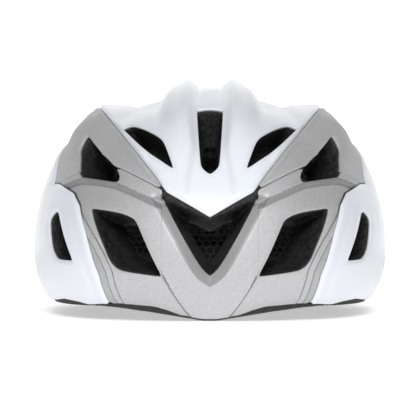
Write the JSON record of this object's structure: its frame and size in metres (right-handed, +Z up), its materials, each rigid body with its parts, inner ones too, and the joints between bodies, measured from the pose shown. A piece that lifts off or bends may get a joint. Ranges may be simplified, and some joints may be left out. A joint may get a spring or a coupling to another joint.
{
  "type": "cycling helmet",
  "caption": "Vented cycling helmet with foam liner, thin painted shells, dial-adjusted fit ring, pads, and stowed straps with a side-release buckle.",
  "frame": {"origin": "on the surface the helmet rests on, at the centre of its footprint", "axes": "+Z up; front (brow) faces -Y; +X is the wearer's left and the right-hand side when seen from the front"},
  "size_m": [0.21, 0.2797, 0.1388],
  "materials": {
    "white_paint": "satin",
    "silver_paint": "satin metallic",
    "dark_trim": "matte",
    "black_foam": "matte beaded foam",
    "black_net": "woven mesh",
    "pad_fabric": "brushed knit",
    "hook_tape": "hook tape",
    "webbing": "woven webbing",
    "soft_rubber": "matte",
    "steel_pin": "satin",
    "nylon_white": "satin",
    "black_plastic": "fine textured"
  },
  "bodies": {
    "helmet": {"crown_shell": "white_paint", "brow_shell": "silver_paint", "band_left": "silver_paint", "band_right": "silver_paint", "side_shell_left": "white_paint", "side_shell_right": "white_paint", "rear_shell": "silver_paint", "rim_trim": "dark_trim", "eps_liner": "black_foam", "insect_net": "black_net", "brow_pad": "pad_fabric", "crown_pads": "pad_fabric", "side_pads": "pad_fabric", "hook_dots": "hook_tape", "temple_anchors": "black_plastic", "temple_pins": "steel_pin", "stem_clip": "black_plastic", "strap_anchors": "black_plastic", "front_straps": "webbing", "rear_straps": "webbing", "strap_dividers": "black_plastic", "chin_strap_left": "webbing", "chin_strap_right": "webbing", "buckle_socket": "black_plastic", "strap_keeper": "soft_rubber", "tri_glide": "black_plastic"},
    "cradle": {"yoke": "black_plastic", "dial_housing": "black_plastic", "detent_ring": "steel_pin", "height_stem": "black_plastic", "nape_pad": "pad_fabric"},
    "dial": {"dial_knob": "black_plastic", "dial_grip": "soft_rubber", "pinion": "nylon_white"},
    "belt_l": {"belt_left": "black_plastic"},
    "belt_r": {"belt_right": "black_plastic"},
    "tongue": {"buckle_tongue": "black_plastic"}
  },
  "joints": [
    {"name": "cradle_tilt", "type": "hinge", "parent": "helmet", "child": "cradle", "pos_m": [0, 0.014, 0.03], "axis": [1, 0, 0], "range_deg": [-5, 8]},
    {"name": "dial_turn", "type": "hinge", "parent": "cradle", "child": "dial", "pos_m": [0, 0.014, 0.03], "axis": [0, 0.9945, -0.1045], "range_deg": [-160.5, 160.5]},
    {"name": "belt_left_draw", "type": "hinge", "parent": "cradle", "child": "belt_l", "pos_m": [0, 0.014, 0.03], "axis": [0, 0.1045, 0.9945], "range_deg": [-9.76, 9.76]},
    {"name": "belt_right_draw", "type": "hinge", "parent": "cradle", "child": "belt_r", "pos_m": [0, 0.014, 0.03], "axis": [0, 0.1045, 0.9945], "range_deg": [-9.8, 9.8]},
    {"name": "buckle_release", "type": "slide", "parent": "helmet", "child": "tongue", "axis": [1, 0, 0], "range_m": [0, 0.0205], "deforming": ["chin_strap_right"]}
  ],
  "couplings": [
    {"joint": "dial_turn", "follows": "belt_left_draw", "ratio": -16.378},
    {"joint": "belt_right_draw", "follows": "belt_left_draw", "ratio": -0.97616}
  ]
}
